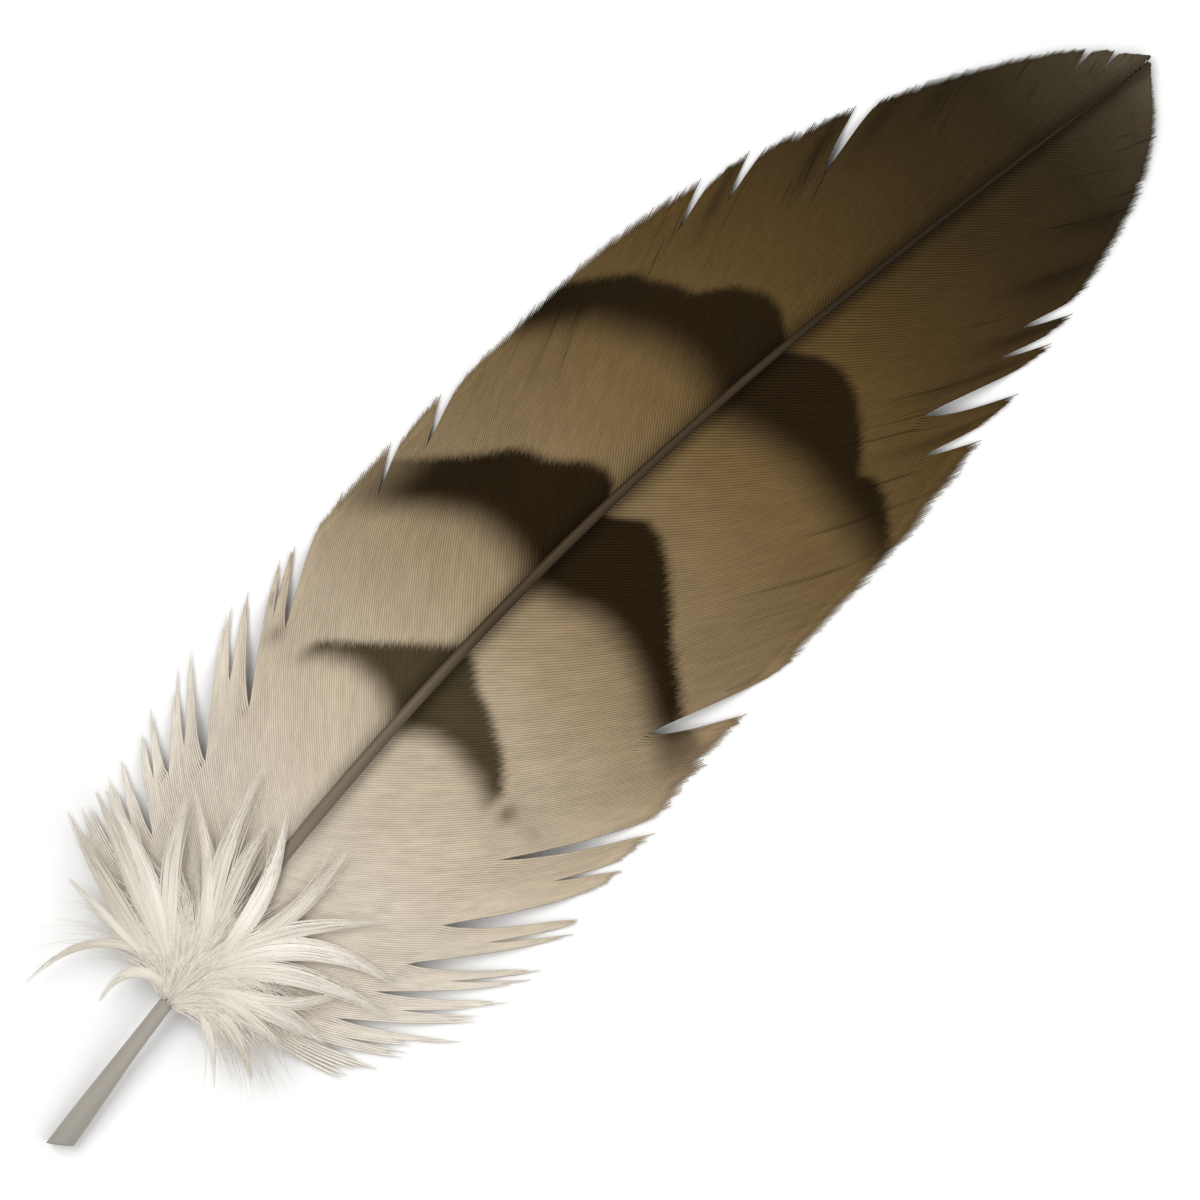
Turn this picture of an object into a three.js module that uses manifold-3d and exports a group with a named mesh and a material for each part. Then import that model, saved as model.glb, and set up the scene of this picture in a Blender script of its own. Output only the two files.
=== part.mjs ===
// A flight feather that lies on a flat surface, its glossy side up.
// Millimetres, +Z up. +X runs from the cut quill to the tip, and +Y points to the left vane.

import * as THREE from "three";
import { mergeVertices } from "three/addons/utils/BufferGeometryUtils.js";
import Module from "manifold-3d";

// Whole feather
const LENGTH = 155.5; // straight line from the cut quill to the tip
const GAP = 0.3; // clearance between neighbouring pieces

// Shaft: a bare round quill that runs on as the rachis between the vanes
const END_OFFSET = 0.7; // how far both ends stand off the straight line
const SIDE_BOW = 6.85; // sideways bow at mid length, towards the left vane
const ARCH = 6; // rise above the surface at mid length
const QUILL_DIAMETER = 2.2;
const RACHIS_DIAMETER = 1.5;
const QUILL_LENGTH = 20; // bare stretch, over which the quill narrows to the rachis
const RACHIS_TAPER = 0.45; // power of the narrowing towards the tip
const SHAFT_END = 153.5;
const TIP_DIAMETER = 0.3;
const TIP_HEIGHT = 0.4; // centre of the shaft above the surface at the tip
const CUT_SLOPE = 0.8; // slant of the cut quill end
const SLANT_FADE = 0.5; // share of the shaft over which that slant fades out
const BORE_SHARE = 0.55; // hollow of the cut end, as a share of the quill's radius
const BORE_DEPTH = 3;
const SHAFT_RINGS = 40;
const SHAFT_SIDES = 10;

// Vanes: barbs sweep from the shaft to an outline given by a few points
const LEFT_OUTLINE = [
  [24, 21.5],
  [38, 24.8],
  [55, 26.2],
  [72, 27.2],
  [88, 26.9],
  [104, 26.2],
  [119, 22.9],
  [132, 17.8],
  [143, 12.2],
  [151, 6.6],
  [LENGTH, 1.2],
];
const RIGHT_OUTLINE = [
  [25, -13],
  [34, -18],
  [46, -20.3],
  [62, -19.2],
  [77, -17.3],
  [92, -16.5],
  [106, -15.9],
  [119, -13.8],
  [132, -11.5],
  [142, -9.1],
  [150, -5.1],
  [LENGTH, 1.2],
];
const END_SWEEP = 1.5; // how far a barb's tip lies ahead of its root at both ends of a vane
const LEFT_SWEEP = 30; // the same at mid length, added to the end sweep
const RIGHT_SWEEP = 33;
const BARB_BULGE = 0.12; // how far a barb bows out from its straight line, as a share of it
const ROOT_THICKNESS = 0.7;
const EDGE_THICKNESS = 0.35;
const DROOP = 1.6; // power of the fall from the shaft to the edge
const FLAT_FROM = 0.92; // share of a barb past which the vane lies flat
const FLAT_MIDDLE = 0.45; // middle of the outline's stretch that touches the surface
const FLAT_HALF = 0.2; // half of that stretch, as a share of the outline
const EDGE_LIFT = 1.6; // rise of the edge at the foot of a vane, past that stretch
const VANE_COLUMNS = 44;
const COLUMN_CLEARANCE = 0.9; // least distance of a column to a split, in columns
const VANE_ROWS = [0, 0.2, 0.4, 0.57, 0.7, 0.82, FLAT_FROM, 1];
const STEP_BACK = 0.03; // how far the edge draws back past a split, as a share of a barb
const EDGE_RUN = 67; // width across the barbs that one whole outline would span

// Splits: place along the outline, share of the barb where the split starts, width at the edge
const LEFT_SPLITS = [
  [0.03, 0.57, 1.0],
  [0.075, 0.57, 1.1],
  [0.11, 0.7, 1.2],
  [0.15, 0.57, 1.4],
  [0.2, 0.57, 1.3],
  [0.236, 0.7, 1.2],
  [0.318, 0.82, 0.7],
  [0.366, 0.82, 1.0],
  [0.578, 0.82, 0.7],
  [0.614, 0.82, 0.8],
  [0.7, 0.7, 1.1],
  [0.915, 0.7, 0.6],
  [0.953, 0.57, 0.5],
];
const RIGHT_SPLITS = [
  [0.05, 0.57, 1.0],
  [0.115, 0.57, 1.4],
  [0.165, 0.57, 1.0],
  [0.2, 0.57, 1.4],
  [0.236, 0.57, 1.2],
  [0.295, 0.57, 0.8],
  [0.4, 0.7, 2.0],
  [0.627, 0.82, 1.0],
  [0.67, 0.7, 1.7],
  [0.704, 0.82, 0.7],
  [0.732, 0.82, 1.0],
];

// Down: tapered locks that spread from a collar at the foot of the vanes
const COLLAR_START = 17.5;
const COLLAR_END = 22;
const COLLAR_WALL = 0.9;
const COLLAR_BULGE = 1.4; // wall of the collar at its middle against that at its ends
const LOCK_SEGMENTS = 6;
const LOCK_SIDES = 5;
const LOCK_FLATNESS = 0.5; // height of a lock's section against its width
const LOCK_CLEARANCE = 1.1; // height of the locks' centre lines over the drooping vanes
const LOCK_LOFT = 0.5; // further rise half way along a lock
const LOCK_TIP = 0.12; // width of a lock at its tip against its full width
const LOCK_FOOT = 0.2; // how far along its half sine wave of width a lock starts
const DOWN_SPREAD = 27; // distance from the shaft at which the down comes down to the surface
const LOWEST_DOWN = 0.7; // centre line of a lock that lies on the surface
// Root, a point half way along and tip of each lock from above, and its width
const MAIN_LOCKS = [
  [[21.3, 5.2], [26.3, 13.8], [29.3, 22.6], 1.6],
  [[21.9, 6.4], [25.7, 15.6], [28.6, 23.4], 1.5],
  [[22.0, 5.6], [28.6, 12.4], [35.3, 16.5], 1.5],
  [[24.9, 4.7], [30.4, 8.6], [35.4, 16.0], 1.4],
  [[26.5, 4.7], [33.2, 9.3], [42.1, 13.0], 1.9],
  [[27.5, 4.8], [33.3, 7.3], [38.9, 8.8], 1.4],
  [[25.7, 2.9], [33.3, 4.1], [40.7, 8.1], 1.5],
  [[26.8, 2.2], [34.6, 0.7], [42.7, 1.3], 1.3],
  [[25.3, 2.5], [32.3, -0.1], [39.8, -6.4], 1.4],
  [[24.3, 2.5], [32.4, -2.7], [36.1, -11.5], 1.8],
  [[23.6, 2.2], [30.1, -4.2], [33.5, -14.1], 1.7],
  [[23.1, 1.7], [26.2, -4.2], [32.0, -8.5], 1.3],
  [[23.4, 0.5], [25.9, -5.4], [26.9, -11.2], 1.7],
  [[22.3, 0.8], [23.6, -3.7], [23.6, -8.9], 1.3],
  [[20.4, 0.5], [19.2, -2.6], [15.8, -6.3], 0.8],
  [[21.8, -0.4], [21.3, -4.3], [19.2, -8.5], 0.9],
  [[20.8, 6.8], [22.7, 15.1], [25.1, 24.0], 1.4],
  [[20.4, 6.4], [20.5, 13.7], [20.4, 19.1], 0.9],
  [[21.0, 7.4], [17.1, 13.0], [9.8, 14.5], 0.8],
  [[20.2, 4.4], [18.3, 7.9], [14.0, 8.1], 0.8],
];
const FILL_LOCKS = 24; // shorter locks that fill the fan between the main ones
const FILL_ROOT = 20.5; // place along the shaft where they start
const FILL_FIRST = 104; // direction of the first of them, in degrees from +X
const FILL_LAST = -110;
const FILL_REACH = [11, 15, 9, 13]; // their reaches, in turn
const FILL_LEAD = 0.85; // direction of a fill lock's first half against that of the whole
const FILL_WIDTH = 1.7;

// Colours and roughness of the three stuffs
const HORN = [0x8c8170, 0.45];
const BARBS = [0x7d6746, 0.7];
const DOWN = [0xe3dacb, 0.9];

const WELD_DISTANCE = 1e-5; // points closer than this are one

// Side offset of the shaft's centre line
function shaftSide(x) {
  return END_OFFSET + SIDE_BOW * Math.sin((Math.PI * x) / LENGTH);
}

// Height of the shaft's centre line: an arch over ends that touch the surface
function shaftHeight(x) {
  const ends = THREE.MathUtils.mapLinear(x, 0, LENGTH, QUILL_DIAMETER / 2, TIP_HEIGHT);
  return ends + ARCH * Math.sin((Math.PI * x) / LENGTH);
}

// Radius of the shaft: the quill narrows to the rachis, which tapers to the tip
function shaftRadius(x) {
  const left = Math.max(0, 1 - Math.max(0, x - QUILL_LENGTH) / (SHAFT_END - QUILL_LENGTH));
  const rachis = Math.max(TIP_DIAMETER, RACHIS_DIAMETER * left ** RACHIS_TAPER);
  const narrowing = THREE.MathUtils.smoothstep(x, 0, QUILL_LENGTH);
  return THREE.MathUtils.lerp(QUILL_DIAMETER, rachis, narrowing) / 2;
}

// A closed surface through rings of equal count, with a fan over its first and last ring
function loft(rings) {
  const count = rings[0].length;
  const middle = (ring) => ring.reduce((sum, p) => sum.add(p), new THREE.Vector3()).divideScalar(count);
  const points = [...rings.flat(), middle(rings[0]), middle(rings.at(-1))];
  const lastRing = (rings.length - 1) * count;
  const firstMiddle = rings.length * count;
  const index = [];
  for (let k = 0; k < count; k++) {
    const next = (k + 1) % count;
    for (let start = 0; start < lastRing; start += count) {
      index.push(start + k, start + next, start + count + k);
      index.push(start + next, start + count + next, start + count + k);
    }
    index.push(firstMiddle, next, k);
    index.push(firstMiddle + 1, lastRing + k, lastRing + next);
  }
  return new THREE.BufferGeometry().setFromPoints(points).setIndex(index);
}

// An elliptic ring of points round a centre, across a level direction of travel
function ring(centre, heading, halfWidth, halfHeight, sides) {
  return Array.from({ length: sides }, (_, k) => {
    const angle = (2 * Math.PI * k) / sides;
    const across = halfWidth * Math.cos(angle);
    const offset = new THREE.Vector3(-across * heading.y, across * heading.x, halfHeight * Math.sin(angle));
    return offset.add(centre);
  });
}

const ALONG = new THREE.Vector3(1, 0, 0);

// Ring of the shaft at a place along it, grown outwards and slanted like the cut end
function shaftRing(x, radius, slant) {
  const centre = new THREE.Vector3(x, shaftSide(x), shaftHeight(x));
  const points = ring(centre, ALONG, radius, radius, SHAFT_SIDES);
  for (const p of points) p.x += slant * (radius - (p.y - centre.y));
  return points;
}

// The shaft's surface, with the hollow of the cut quill leading in
function shaftGeometry() {
  const radius = shaftRadius(0);
  const bore = radius * BORE_SHARE;
  const rings = [shaftRing(BORE_DEPTH, bore, 0), shaftRing(0, bore, CUT_SLOPE)];
  for (const p of rings[1]) p.x += CUT_SLOPE * (radius - bore);
  for (let k = 0; k <= SHAFT_RINGS; k++) {
    const share = k / SHAFT_RINGS;
    const x = SHAFT_END * share;
    rings.push(shaftRing(x, shaftRadius(x), CUT_SLOPE * Math.max(0, 1 - share / SLANT_FADE)));
  }
  return loft(rings);
}

// The shaft grown by the clearance, which cuts the way for it through the down
function shaftWay() {
  const rings = [];
  for (let k = 0; k <= SHAFT_RINGS; k++) {
    const x = (SHAFT_END * k) / SHAFT_RINGS;
    rings.push(shaftRing(x, shaftRadius(x) + GAP, 0));
  }
  return loft(rings);
}

// One vane's shape: where each barb starts, runs and ends, and how high it lies
class Vane {
  constructor(side, outline, sweep, splits) {
    const points = outline.map(([x, y]) => new THREE.Vector3(x, y, 0));
    this.side = side; // +1 on the left of the shaft, -1 on the right
    this.outline = new THREE.CatmullRomCurve3(points, false, "catmullrom");
    this.sweep = sweep;
    this.splits = splits;
  }

  // Level curve of the barb that ends at a place along the outline
  barb(place, grow) {
    const tip = this.outline.getPoint(place);
    const x = tip.x - END_SWEEP - this.sweep * Math.sin(Math.PI * place);
    const root = new THREE.Vector3(x, shaftSide(x) + this.side * (shaftRadius(x) + GAP - grow), 0);
    const run = tip.clone().sub(root);
    const outwards = new THREE.Vector3(-run.y, run.x, 0).multiplyScalar(this.side * BARB_BULGE);
    const bend = root.clone().add(tip).divideScalar(2).add(outwards);
    return new THREE.QuadraticBezierCurve3(root, bend, tip);
  }

  // Height of the vane's underside, falling from the shaft to an edge that lies flat at mid length
  underside(place, share, rootX) {
    const past = Math.max(0, Math.abs(place - FLAT_MIDDLE) - FLAT_HALF) / FLAT_MIDDLE;
    const edge = EDGE_LIFT * past ** 2;
    const start = Math.max(edge, shaftHeight(rootX) - ROOT_THICKNESS / 2);
    const fall = Math.min(1, share / FLAT_FROM) ** DROOP;
    return THREE.MathUtils.lerp(start, edge, fall);
  }

  // Lower and upper point of the vane at a place along the outline and a share of the barb
  pair(place, share, grow) {
    const barb = this.barb(place, grow);
    const lower = barb.getPoint(share);
    lower.z = this.underside(place, share, barb.v0.x) - grow;
    const upper = lower.clone();
    upper.z += THREE.MathUtils.lerp(ROOT_THICKNESS, EDGE_THICKNESS, Math.min(1, share)) + 2 * grow;
    return [lower, upper];
  }

  // Places of the grid's columns: even ones, and one at each split in place of those beside it
  columns() {
    const step = 1 / VANE_COLUMNS;
    const even = Array.from({ length: VANE_COLUMNS + 1 }, (_, k) => ({ place: k * step }));
    const least = COLUMN_CLEARANCE * step;
    const clear = even.filter(({ place }) => this.splits.every(([at]) => Math.abs(at - place) > least));
    const split = this.splits.map(([place, from, width]) => ({ place, from, width }));
    return [...clear, ...split].sort((a, b) => a.place - b.place);
  }

  // The closed vane: a grid of barbs, open along its splits, with an underside and walls round the rim
  geometry(grow) {
    const lowers = [];
    const uppers = [];
    const add = (place, share) => {
      const [lower, upper] = this.pair(place, share, grow);
      lowers.push(lower);
      return uppers.push(upper) - 1;
    };
    // Each column keeps a row of points for the web behind it and one for the web ahead of it
    const columns = this.columns().map(({ place, from = 1, width = 0 }) => {
      const behind = [];
      const ahead = [];
      for (const share of VANE_ROWS) {
        const open = share > from ? (share - from) / (1 - from) : 0;
        const half = (open * width) / 2 / EDGE_RUN;
        behind.push(add(place - half, share));
        ahead.push(open > 0 ? add(place + half, share - STEP_BACK * open) : behind.at(-1));
      }
      return { behind, ahead };
    });
    const faces = [];
    for (let c = 1; c < columns.length; c++) {
      const near = columns[c - 1].ahead;
      const far = columns[c].behind;
      for (let r = 1; r < VANE_ROWS.length; r++) {
        faces.push([near[r - 1], far[r - 1], far[r]], [near[r - 1], far[r], near[r]]);
      }
    }
    return thicken(lowers, uppers, this.side > 0 ? faces : faces.map(([a, b, c]) => [a, c, b]));
  }
}

// A closed solid between two copies of a sheet of faces, with walls along the edges that one face uses
function thicken(lowers, uppers, faces) {
  const count = uppers.length;
  const edges = new Map();
  for (const [a, b, c] of faces) {
    for (const [from, to] of [[a, b], [b, c], [c, a]]) {
      if (!edges.delete(`${to} ${from}`)) edges.set(`${from} ${to}`, [from, to]);
    }
  }
  const index = [];
  for (const [a, b, c] of faces) index.push(a, b, c, count + a, count + c, count + b);
  for (const [from, to] of edges.values()) {
    index.push(from, count + from, to, to, count + from, count + to);
  }
  return new THREE.BufferGeometry().setFromPoints([...uppers, ...lowers]).setIndex(index);
}

// Height of a lock over the ground: it follows the shaft and comes down away from it
function downHeight(x, y) {
  const away = Math.min(1, Math.abs(y - shaftSide(x)) / DOWN_SPREAD);
  return Math.max(LOWEST_DOWN, shaftHeight(x) * (1 - away ** DROOP) + LOCK_CLEARANCE);
}

// A tapered, flattened lock that curves from its root through its half-way point to its tip
function lockGeometry([rootPlan, middlePlan, tipPlan, width]) {
  const [root, middle, tip] = [rootPlan, middlePlan, tipPlan].map(([x, y]) => new THREE.Vector3(x, y, 0));
  const chordMiddle = root.clone().add(tip).divideScalar(2);
  const bend = middle.multiplyScalar(2).sub(chordMiddle);
  const path = new THREE.QuadraticBezierCurve3(root, bend, tip);
  const rings = [];
  for (let k = 0; k <= LOCK_SEGMENTS; k++) {
    const share = k / LOCK_SEGMENTS;
    const centre = path.getPoint(share);
    centre.z = downHeight(centre.x, centre.y) + LOCK_LOFT * Math.sin(Math.PI * share);
    const wave = Math.sin(Math.PI * THREE.MathUtils.lerp(LOCK_FOOT, 1, share));
    const halfWidth = (width / 2) * THREE.MathUtils.lerp(LOCK_TIP, 1, wave);
    rings.push(ring(centre, path.getTangent(share), halfWidth, halfWidth * LOCK_FLATNESS, LOCK_SIDES));
  }
  return loft(rings);
}

// Short locks at even directions between the main ones, which turn away from the shaft
function fillLocks() {
  const root = [FILL_ROOT, shaftSide(FILL_ROOT)];
  const from = (reach, angle) => [root[0] + reach * Math.cos(angle), root[1] + reach * Math.sin(angle)];
  return Array.from({ length: FILL_LOCKS }, (_, k) => {
    const degrees = THREE.MathUtils.mapLinear(k, 0, FILL_LOCKS - 1, FILL_FIRST, FILL_LAST);
    const direction = THREE.MathUtils.degToRad(degrees);
    const reach = FILL_REACH[k % FILL_REACH.length];
    return [root, from(reach / 2, direction * FILL_LEAD), from(reach, direction), FILL_WIDTH];
  });
}

// A ring of down round the shaft, from which the locks spread
function collarGeometry() {
  const rings = [COLLAR_START, (COLLAR_START + COLLAR_END) / 2, COLLAR_END].map((x, k) => {
    const wall = GAP + COLLAR_WALL * (k === 1 ? COLLAR_BULGE : 1);
    return shaftRing(x, shaftRadius(x) + wall, 0);
  });
  return loft(rings);
}

const wasm = await Module();
wasm.setup();

// A closed geometry as a solid that can be joined and cut
function solidOf(geometry) {
  const merged = mergeVertices(geometry, WELD_DISTANCE);
  return new wasm.Manifold(
    new wasm.Mesh({
      numProp: 3,
      vertProperties: merged.attributes.position.array,
      triVerts: new Uint32Array(merged.index.array),
    }),
  );
}

// A solid as a geometry
function geometryOf(solid) {
  const mesh = solid.getMesh();
  return new THREE.BufferGeometry()
    .setAttribute("position", new THREE.BufferAttribute(mesh.vertProperties, 3))
    .setIndex(new THREE.BufferAttribute(mesh.triVerts, 1));
}

// The tuft of down: locks and collar joined in one, clear of the shaft and the vanes
function tuftGeometry(vanes) {
  let tuft = solidOf(collarGeometry());
  for (const lock of [...MAIN_LOCKS, ...fillLocks()]) tuft = tuft.add(solidOf(lockGeometry(lock)));
  tuft = tuft.subtract(solidOf(shaftWay()));
  for (const vane of vanes) tuft = tuft.subtract(solidOf(vane.geometry(GAP)));
  const bodies = tuft.decompose().sort((a, b) => b.volume() - a.volume());
  return geometryOf(bodies[0]);
}

function piece(name, geometry, [color, roughness]) {
  const mesh = new THREE.Mesh(geometry, new THREE.MeshStandardMaterial({ color, roughness, metalness: 0 }));
  mesh.name = name;
  return mesh;
}

const leftVane = new Vane(1, LEFT_OUTLINE, LEFT_SWEEP, LEFT_SPLITS);
const rightVane = new Vane(-1, RIGHT_OUTLINE, RIGHT_SWEEP, RIGHT_SPLITS);

const feather = new THREE.Group();
feather.add(
  piece("shaft", shaftGeometry(), HORN),
  piece("left_vane", leftVane.geometry(0), BARBS),
  piece("right_vane", rightVane.geometry(0), BARBS),
  piece("down_tuft", tuftGeometry([leftVane, rightVane]), DOWN),
);

// The origin is the middle of the feather's footprint, on the surface that it lies on
const box = new THREE.Box3().setFromObject(feather, true);
const middle = box.getCenter(new THREE.Vector3());
feather.position.set(-middle.x, -middle.y, -box.min.z);

export default feather;
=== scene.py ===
import math

import bpy
import numpy as np
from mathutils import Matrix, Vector


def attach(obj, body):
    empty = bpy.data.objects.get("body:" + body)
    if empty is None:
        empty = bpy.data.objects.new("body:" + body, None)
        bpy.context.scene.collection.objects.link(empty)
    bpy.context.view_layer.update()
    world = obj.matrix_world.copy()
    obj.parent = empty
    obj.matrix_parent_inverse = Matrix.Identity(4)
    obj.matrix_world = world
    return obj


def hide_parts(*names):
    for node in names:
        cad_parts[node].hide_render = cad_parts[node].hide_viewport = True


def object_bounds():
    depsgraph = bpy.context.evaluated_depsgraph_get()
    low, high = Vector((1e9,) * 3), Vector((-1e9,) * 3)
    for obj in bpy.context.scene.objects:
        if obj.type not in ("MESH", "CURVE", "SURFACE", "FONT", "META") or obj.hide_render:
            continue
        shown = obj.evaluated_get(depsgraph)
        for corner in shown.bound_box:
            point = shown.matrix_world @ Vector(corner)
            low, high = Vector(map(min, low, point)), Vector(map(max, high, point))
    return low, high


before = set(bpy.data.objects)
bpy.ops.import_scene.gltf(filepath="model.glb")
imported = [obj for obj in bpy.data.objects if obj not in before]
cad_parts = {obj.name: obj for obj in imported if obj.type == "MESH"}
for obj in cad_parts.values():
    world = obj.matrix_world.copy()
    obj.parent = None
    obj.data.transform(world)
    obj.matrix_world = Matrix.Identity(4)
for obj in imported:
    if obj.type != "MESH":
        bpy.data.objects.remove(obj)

cad_low, cad_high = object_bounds()

MM = 0.001
random = np.random.default_rng(7)

# The photograph's frame
PHOTO_SIZE = 1200
QUILL_PIXEL = (57, 1157)
TIP_PIXEL = (1160, 62)

# Shape of the feather in millimetres, from the cut quill, as its solids have it
LENGTH = 155.5
END_OFFSET = 0.7
SIDE_BOW = 6.85
ARCH = 6.0
QUILL_DIAMETER = 2.2
RACHIS_DIAMETER = 1.5
QUILL_LENGTH = 20.0
RACHIS_TAPER = 0.45
SHAFT_END = 153.5
TIP_DIAMETER = 0.3
TIP_HEIGHT = 0.4
CUT_SLOPE = 0.8
BORE_SHARE = 0.55
BORE_DEPTH = 3.0
END_SWEEP = 1.5
BARB_BULGE = 0.12
EDGE_THICKNESS = 0.35
DROOP = 1.6
FLAT_FROM = 0.92
FLAT_MIDDLE = 0.45
FLAT_HALF = 0.2
EDGE_LIFT = 1.6
STEP_BACK = 0.03
EDGE_RUN = 67.0
ROOT_INSET = 0.6  # share of the shaft's radius at which barbs start beside its middle
ROOT_RISE = 0.35  # share of the shaft's radius at which barbs start over its middle
OUTLINE_SAMPLES = 4001


class Vane:
    """One vane: its side of the shaft, the outline its barbs reach, their sweep, and its splits.

    A split is its place along the outline, the share of a barb where it starts, and its width.
    Frays are short splits between the loose barbs, too fine for the solids.
    """

    def __init__(self, name, side, sweep, outline, splits, frays):
        self.name = name
        self.side = side
        self.sweep = sweep
        self.outline = np.array(outline, float)
        self.splits = splits + frays


LEFT_VANE = Vane(
    "left_vane", 1, 30.0,
    [(24, 21.5), (38, 24.8), (55, 26.2), (72, 27.2), (88, 26.9), (104, 26.2), (119, 22.9),
     (132, 17.8), (143, 12.2), (151, 6.6), (LENGTH, 1.2)],
    [(0.03, 0.57, 1.0), (0.075, 0.57, 1.1), (0.11, 0.7, 1.2), (0.15, 0.57, 1.4), (0.2, 0.57, 1.3),
     (0.236, 0.7, 1.2), (0.318, 0.82, 0.7), (0.366, 0.82, 1.0), (0.578, 0.82, 0.7),
     (0.614, 0.82, 0.8), (0.7, 0.7, 1.1), (0.915, 0.7, 0.6), (0.953, 0.57, 0.5)],
    [(0.053, 0.7, 0.5), (0.092, 0.75, 0.5), (0.13, 0.72, 0.6), (0.176, 0.75, 0.6), (0.218, 0.8, 0.5)],
)
RIGHT_VANE = Vane(
    "right_vane", -1, 33.0,
    [(25, -13), (34, -18), (46, -20.3), (62, -19.2), (77, -17.3), (92, -16.5), (106, -15.9),
     (119, -13.8), (132, -11.5), (142, -9.1), (150, -5.1), (LENGTH, 1.2)],
    [(0.05, 0.57, 1.0), (0.115, 0.57, 1.4), (0.165, 0.57, 1.0), (0.2, 0.57, 1.4), (0.236, 0.57, 1.2),
     (0.295, 0.57, 0.8), (0.4, 0.7, 2.0), (0.627, 0.82, 1.0), (0.67, 0.7, 1.7), (0.704, 0.82, 0.7),
     (0.732, 0.82, 1.0)],
    [(0.08, 0.72, 0.6), (0.14, 0.72, 0.6), (0.183, 0.75, 0.5), (0.218, 0.75, 0.5), (0.265, 0.8, 0.5)],
)

# Barbs of a vane
BARBS = 380
BARB_STATIONS = 52
BARB_OVERLAP = 1.45  # width of a barb against the distance to the next one
BARB_RIDGE = 0.045  # rise of a barb's ridge over its edges
SPLIT_FULLNESS = 1.2  # width of a split among the barbs against its solid's
SPLIT_BLUNTNESS = 0.6  # power of its opening towards the edge
SPLIT_REACH = 0.02  # share of the outline over which barbs move aside at a split
LOOSE_PALENESS = 0.55  # how far the tips of loose barbs turn to the colour of down
LOOSE_UNTIL = 0.26  # share of the outline whose barbs are loose and downy
LOOSE_BARBS_FULL = 0.5  # share of that stretch over which the barbs are fully loose
LOOSE_ENDS_FULL = 0.6  # share of it over which their ends are fully uneven
LOOSE_NARROWING = 0.45  # how much narrower a loose barb's tip is
PALE_POWER = 3  # power of the run along a loose barb by which it turns pale
END_UNEVENNESS = 0.008
LOOSE_END_UNEVENNESS = 0.05
STEP_REACH = 0.012  # share of the outline over which barbs ahead of a split are drawn back
SPLIT_LEAD = 0.012  # how much longer the barbs behind a split are
LEAD_REACH = 0.008
PLACE_SAMPLES = 3001
GAP_LIMITS = (0.06, 0.5)
TIP_RUN = 0.07  # share of a barb that narrows to its end
TIP_LEAST = 0.08
TIP_POWER = 0.7
RIDGE_FULL_WIDTH = 0.25  # width of a barb whose ridge has its full rise
RIDGE_LIMITS = (0.2, 1.2)
BARB_TILT = 0.6  # tilt of a barb, as a share of its ridge
BARB_KEEL = 0.03  # depth of a barb's underside past its ridge's rise
RIPPLE_HEIGHT = 0.05
RIPPLE_RATE = 90
# Grain of the barbs: its run along a barb, its step to the next one and its start on each side
GRAIN_LENGTH = 30
GRAIN_STEP = 0.9
GRAIN_START = 50

# Down locks: root, a point half way and tip, width, and brightness from 0 to 1
LOCKS = [
    ((21.3, 5.2), (26.3, 13.8), (29.3, 22.6), 1.6, 0.75),
    ((21.9, 6.4), (25.7, 15.6), (28.6, 23.4), 1.5, 0.3),
    ((22.0, 5.6), (28.6, 12.4), (35.3, 16.5), 1.5, 0.55),
    ((24.9, 4.7), (30.4, 8.6), (35.4, 16.0), 1.4, 0.65),
    ((26.5, 4.7), (33.2, 9.3), (42.1, 13.0), 1.9, 0.55),
    ((27.5, 4.8), (33.3, 7.3), (38.9, 8.8), 1.4, 0.35),
    ((25.7, 2.9), (33.3, 4.1), (40.7, 8.1), 1.5, 1.0),
    ((26.8, 2.2), (34.6, 0.7), (42.7, 1.3), 1.3, 0.5),
    ((25.3, 2.5), (32.3, -0.1), (39.8, -6.4), 1.4, 0.65),
    ((24.3, 2.5), (32.4, -2.7), (36.1, -11.5), 1.8, 0.9),
    ((23.6, 2.2), (30.1, -4.2), (33.5, -14.1), 1.7, 0.7),
    ((23.1, 1.7), (26.2, -4.2), (32.0, -8.5), 1.3, 0.6),
    ((23.4, 0.5), (25.9, -5.4), (26.9, -11.2), 1.7, 0.6),
    ((22.3, 0.8), (23.6, -3.7), (23.6, -8.9), 1.3, 0.45),
    ((20.4, 0.5), (19.2, -2.6), (15.8, -6.3), 0.7, 0.5),
    ((21.8, -0.4), (21.3, -4.3), (19.2, -8.5), 0.9, 0.3),
    ((20.8, 6.8), (22.7, 15.1), (25.1, 24.0), 1.4, 0.15),
    ((20.4, 6.4), (20.5, 13.7), (20.4, 19.1), 0.9, 0.5),
    ((21.0, 7.4), (17.1, 13.0), (9.8, 14.5), 0.6, 0.2),
    ((20.2, 4.4), (18.3, 7.9), (14.0, 8.1), 0.8, 0.5),
]
LOCK_FULLNESS = 1.3  # width of a lock of fibres against its solid's
FIBRES_PER_MM = 70  # fibres of a lock for each millimetre of its width
FIBRE_STATIONS = 13
FIBRE_WIDTH = 0.11
LOCK_CLEARANCE = 0.9
LOCK_LOFT = 0.35
LOCK_RISE = 0.15  # height of the locks over the tuft's body
DOWN_SPREAD = 27.0
LOWEST_DOWN = 0.7
# Body of the tuft: loose fibres that leave the shaft along it and turn to all sides
BODY_FIBRES = 1900
BODY_DIRECTIONS = (-108, 112)  # degrees from +X
BODY_REACH = (7.0, 15.0)
BODY_ROOTS = (18.6, 23.5)
BODY_BRIGHTNESS = (0.2, 0.45)
BODY_WIDTH = 0.9
BODY_ROOT_SPREAD = 0.7  # how far to its own side of the shaft's middle a fibre starts
BODY_LEAD = 0.55  # share of its direction that a fibre has half way
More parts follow.
